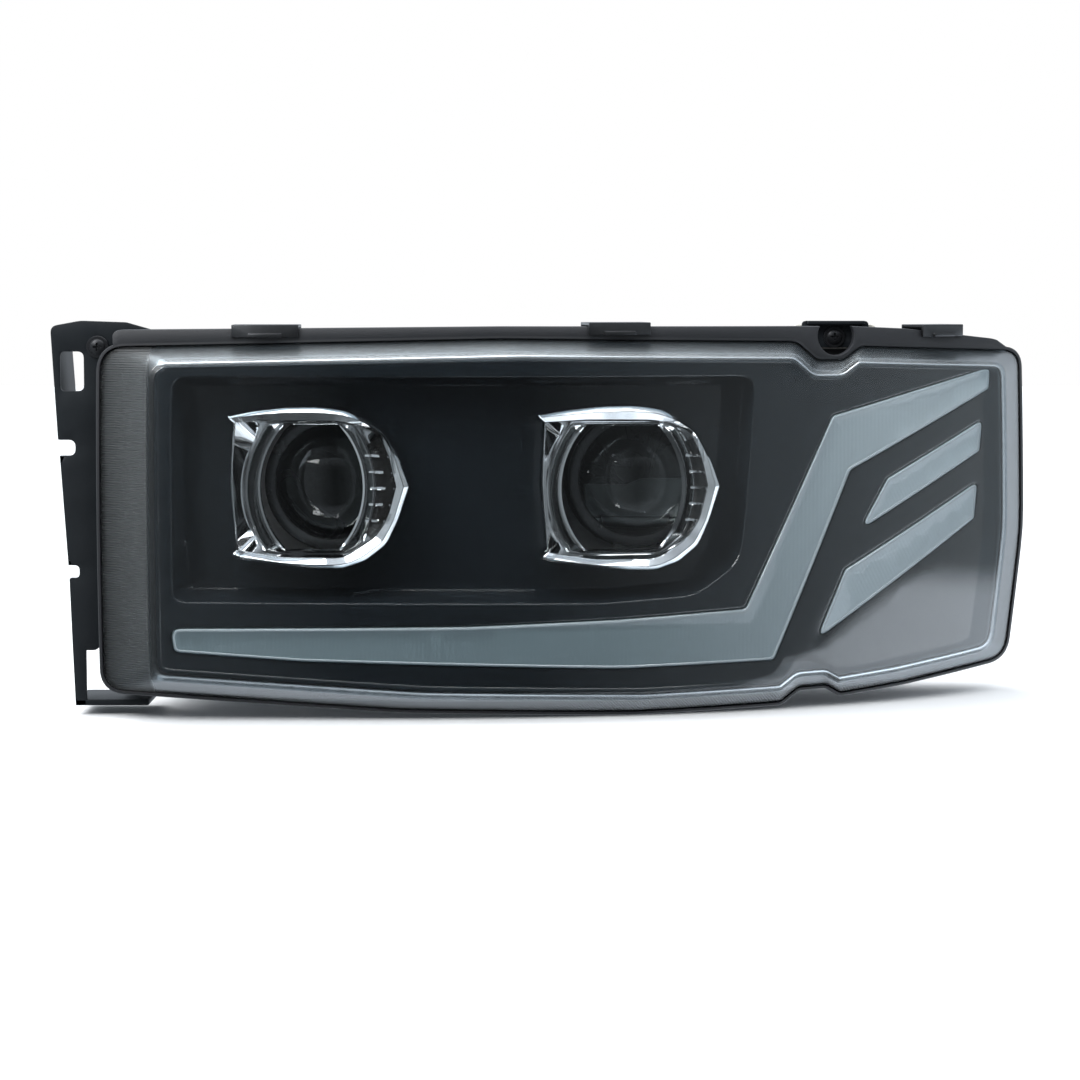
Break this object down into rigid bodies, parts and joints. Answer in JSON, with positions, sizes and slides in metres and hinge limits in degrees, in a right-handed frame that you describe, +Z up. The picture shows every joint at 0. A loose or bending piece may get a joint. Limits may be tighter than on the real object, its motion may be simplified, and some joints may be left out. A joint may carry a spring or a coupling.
{
  "type": "headlight assembly",
  "caption": "Swept vehicle headlight with projector lamps, daytime-light bar, clear cover, aim adjusters, rear twist caps and a side mounting bracket.",
  "frame": {"origin": "centre of the rear face of the side bracket's mounting pad, where the lamp is bolted to its panel", "axes": "+X from the inboard (grille) end to the outboard (wrap-around) end, +Y rearwards into the vehicle, +Z up; the lens faces -Y"},
  "size_m": [0.6392, 0.24, 0.2514],
  "materials": {
    "clear_lens": "clear moulded polycarbonate with a hard coat, ribbed left border and fluted lower border",
    "gloss_black": "moulded in gloss black",
    "bright_chrome": "vacuum metallised plastic under a clear lacquer",
    "bracket_black": "satin black powder coat on pressed steel",
    "housing_black": "talc filled black polypropylene",
    "seal_rubber": "black foam and rubber seal",
    "light_guide": "frosted translucent light guide, unlit grey blue",
    "tray_grey": "light grey reflector tray",
    "led_board": "green solder mask circuit board",
    "spring_steel": "spring steel clip",
    "cast_alloy": "die cast aluminium",
    "projector_glass": "polished optical glass",
    "bulb_glass": "quartz capsule on a metal base",
    "natural_nylon": "natural nylon",
    "black_screw": "black zinc plated steel screw",
    "zinc_steel": "zinc plated steel",
    "cap_black": "black glass filled nylon"
  },
  "bodies": {
    "housing": {"rear_housing": "housing_black", "outer_lens": "clear_lens", "lens_seal": "seal_rubber", "inner_bezel": "gloss_black", "high_beam_shroud": "bright_chrome", "low_beam_shroud": "bright_chrome", "drl_guide_main": "light_guide", "drl_guide_middle": "light_guide", "drl_guide_lower": "light_guide", "drl_tray": "tray_grey", "drl_board_main": "led_board", "drl_board_middle": "led_board", "drl_board_lower": "led_board", "side_bracket": "bracket_black", "bracket_screw": "black_screw", "foot_screw": "black_screw", "top_tab": "bracket_black", "top_tab_backing": "zinc_steel", "top_tab_screw": "black_screw", "lens_clip_top_1": "spring_steel", "lens_clip_top_2": "spring_steel", "lens_clip_top_3": "spring_steel", "main_connector": "housing_black", "breather_inboard": "seal_rubber", "breather_outboard": "seal_rubber", "level_motor": "cap_black", "pivot_stud": "zinc_steel", "side_bush": "natural_nylon", "high_cap_seal": "seal_rubber", "low_cap_seal": "seal_rubber"},
    "pivot_link": {"pivot_cup": "natural_nylon"},
    "carrier": {"carrier_frame": "cast_alloy", "high_projector_holder": "cast_alloy", "low_projector_holder": "cast_alloy", "high_projector_lens": "projector_glass", "low_projector_lens": "projector_glass", "high_lens_ring": "zinc_steel", "low_lens_ring": "zinc_steel", "high_reflector": "cast_alloy", "low_reflector": "cast_alloy", "high_bulb": "bulb_glass", "low_bulb": "bulb_glass", "high_bulb_plug": "housing_black", "low_bulb_plug": "housing_black", "level_socket": "natural_nylon", "side_socket": "natural_nylon", "shutter_pin": "spring_steel", "shutter_solenoid": "zinc_steel"},
    "level_rod": {"level_rod": "natural_nylon"},
    "level_knob": {"level_knob": "natural_nylon"},
    "side_screw": {"side_screw": "natural_nylon"},
    "side_nut": {"side_ball_nut": "natural_nylon"},
    "shutter": {"cutoff_shutter": "spring_steel"},
    "high_cap": {"high_beam_cap": "cap_black"},
    "low_cap": {"low_beam_cap": "cap_black"}
  },
  "joints": [
    {"name": "side_aim", "type": "hinge", "parent": "housing", "child": "pivot_link", "pos_m": [0.253, 0.012, 0.057], "axis": [0, 0, 1], "range_deg": [-2, 2]},
    {"name": "level_aim", "type": "hinge", "parent": "pivot_link", "child": "carrier", "pos_m": [0.253, 0.012, 0.057], "axis": [1, 0, 0], "range_deg": [-2, 2]},
    {"name": "level_rod_slide", "type": "slide", "parent": "housing", "child": "level_rod", "axis": [0, 1, 0], "range_m": [-0.0039, 0.0039]},
    {"name": "level_knob_turn", "type": "hinge", "parent": "housing", "child": "level_knob", "pos_m": [0.253, 0.102, -0.094], "axis": [0, 1, 0], "range_deg": [-347, 347]},
    {"name": "side_nut_slide", "type": "slide", "parent": "housing", "child": "side_nut", "axis": [0, 1, 0], "range_m": [-0.0055, 0.0055]},
    {"name": "side_screw_turn", "type": "hinge", "parent": "housing", "child": "side_screw", "pos_m": [0.409, 0.102, 0.057], "axis": [0, 1, 0], "range_deg": [-491, 491]},
    {"name": "shutter_flip", "type": "hinge", "parent": "carrier", "child": "shutter", "pos_m": [0.351, -0.008, -0.022], "axis": [-1, 0, 0], "range_deg": [0, 60], "stiffness_Nm_per_rad": 0.01, "springref_deg": -34.38},
    {"name": "high_cap_twist", "type": "hinge", "parent": "housing", "child": "high_cap", "pos_m": [0.157, 0.102, 0.0005], "axis": [0, 1, 0], "range_deg": [0, 25]},
    {"name": "low_cap_twist", "type": "hinge", "parent": "housing", "child": "low_cap", "pos_m": [0.351, 0.102, 0.0005], "axis": [0, 1, 0], "range_deg": [0, 25]}
  ],
  "couplings": [
    {"joint": "level_rod_slide", "follows": "level_aim", "m_per_rad": 0.11},
    {"joint": "level_knob_turn", "follows": "level_aim", "ratio": 172.79},
    {"joint": "side_nut_slide", "follows": "side_aim", "m_per_rad": 0.156},
    {"joint": "side_screw_turn", "follows": "side_aim", "ratio": 245.04}
  ]
}
